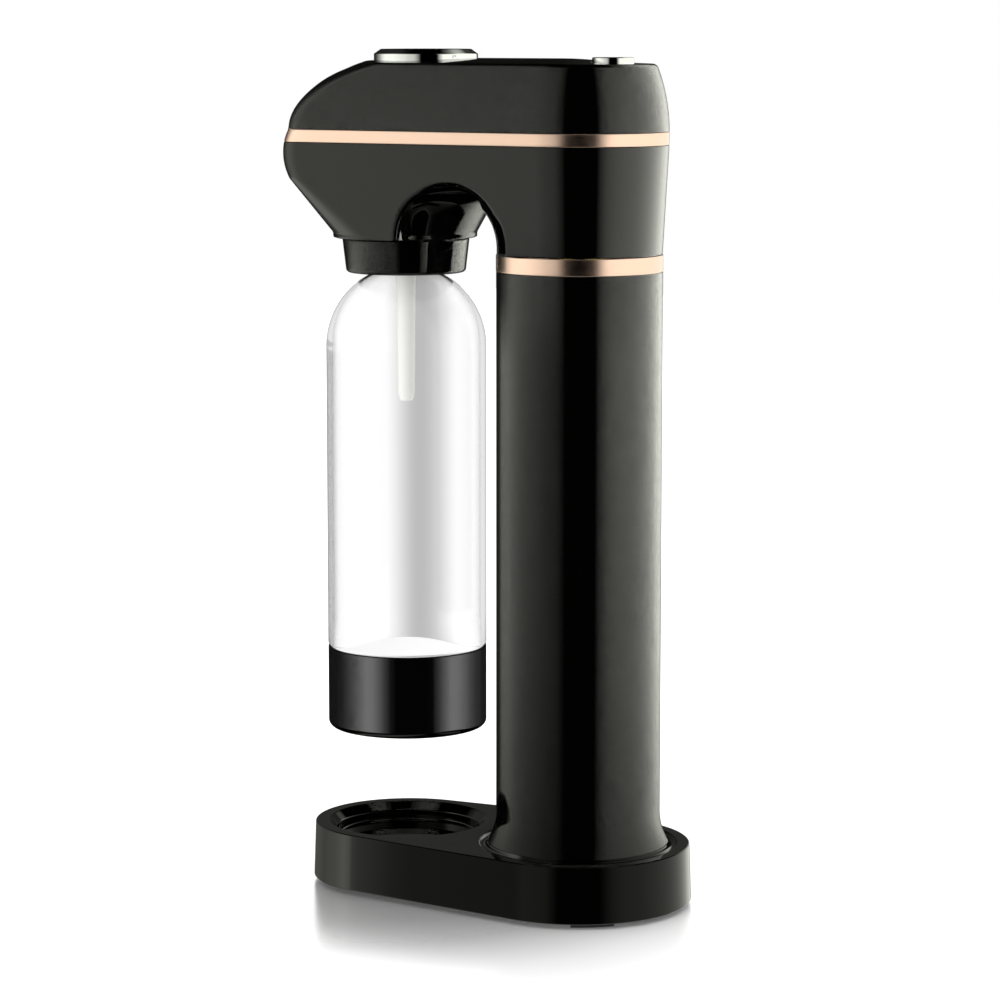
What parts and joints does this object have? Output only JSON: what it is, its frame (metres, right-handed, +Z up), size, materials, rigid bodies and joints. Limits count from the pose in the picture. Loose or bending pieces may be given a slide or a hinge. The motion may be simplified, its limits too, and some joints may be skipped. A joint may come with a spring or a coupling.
{
  "type": "sparkling water maker",
  "caption": "Countertop sparkling water maker with a round column on a long rounded base, an arched head with push buttons, and a clear bottle hanging from a tapered collar.",
  "frame": {"origin": "middle of the machine's outline in plan, on the worktop under the feet", "axes": "+Z up, front of the machine with the bottle towards -Y, +X to the machine's right seen from behind, mirror plane of the outside at X = 0"},
  "size_m": [0.114, 0.2118, 0.4251],
  "materials": {
    "gloss_black": "polished piano black moulding",
    "plain_black": "plain moulded black",
    "rose_gold": "polished rose gold plating",
    "chrome": "polished chrome plating",
    "clear_plastic": "clear blown bottle plastic",
    "milky_plastic": "translucent white moulding",
    "white_plastic": "plain moulded white",
    "rubber": "soft black rubber",
    "steel": "bright zinc plated steel",
    "brass": "turned brass",
    "aluminium": "turned aluminium",
    "hose": "plain white tubing"
  },
  "bodies": {
    "machine": {"base_housing": "gloss_black", "base_plate": "plain_black", "rubber_feet": "rubber", "base_screws": "steel", "column_tube": "gloss_black", "column_ring": "rose_gold", "cylinder_guides": "plain_black", "gas_cylinder": "aluminium", "cylinder_valve": "brass", "valve_gasket": "rubber", "valve_block": "aluminium", "chassis_plate": "steel", "chassis_screws": "steel", "lever_bracket": "steel", "lever_pin": "steel", "head_lower_shell": "gloss_black", "head_band": "rose_gold", "head_cover": "gloss_black", "cover_standoffs": "steel", "button_guide": "plain_black", "button_spring": "steel", "vent_valve": "brass", "vent_spring": "steel", "bottle_collar": "gloss_black", "collar_seal": "rubber", "nozzle_body": "white_plastic", "nozzle_tube": "milky_plastic", "relief_valve": "brass", "hose_fittings": "brass", "gas_hose": "hose", "vent_hose": "hose"},
    "button": {"carbonation_button": "chrome"},
    "lever": {"carbonation_lever": "steel"},
    "plunger": {"valve_plunger": "steel", "valve_pin": "steel"},
    "vent": {"vent_button": "chrome"},
    "bottle": {"bottle": "clear_plastic", "bottle_cup": "gloss_black"},
    "hatch": {"cylinder_hatch": "plain_black", "hatch_pad": "rubber"}
  },
  "joints": [
    {"name": "button_press", "type": "slide", "parent": "machine", "child": "button", "axis": [0, 0, -1], "range_m": [0, 0.006], "stiffness_N_per_m": 1500, "springref_m": -0.003, "deforming": ["button_spring"]},
    {"name": "lever_rock", "type": "hinge", "parent": "machine", "child": "lever", "pos_m": [0, 0.07595, 0.3881], "axis": [1, 0, 0], "range_deg": [0, 3.2]},
    {"name": "plunger_push", "type": "slide", "parent": "machine", "child": "plunger", "axis": [0, 0, -1], "range_m": [0, 0.0016]},
    {"name": "vent_press", "type": "slide", "parent": "machine", "child": "vent", "axis": [0, 0, -1], "range_m": [0, 0.003], "stiffness_N_per_m": 800, "springref_m": -0.002, "deforming": ["vent_spring"]},
    {"name": "bottle_drop", "type": "slide", "parent": "machine", "child": "bottle", "axis": [0, 0, -1], "range_m": [0, 0.0515]},
    {"name": "hatch_twist", "type": "hinge", "parent": "machine", "child": "hatch", "pos_m": [0, 0.04895, 0], "axis": [0, 0, 1], "range_deg": [0, 45]}
  ],
  "couplings": [
    {"joint": "lever_rock", "follows": "button_press", "rad_per_m": 8.7032},
    {"joint": "plunger_push", "follows": "button_press", "ratio": 0.23499}
  ]
}
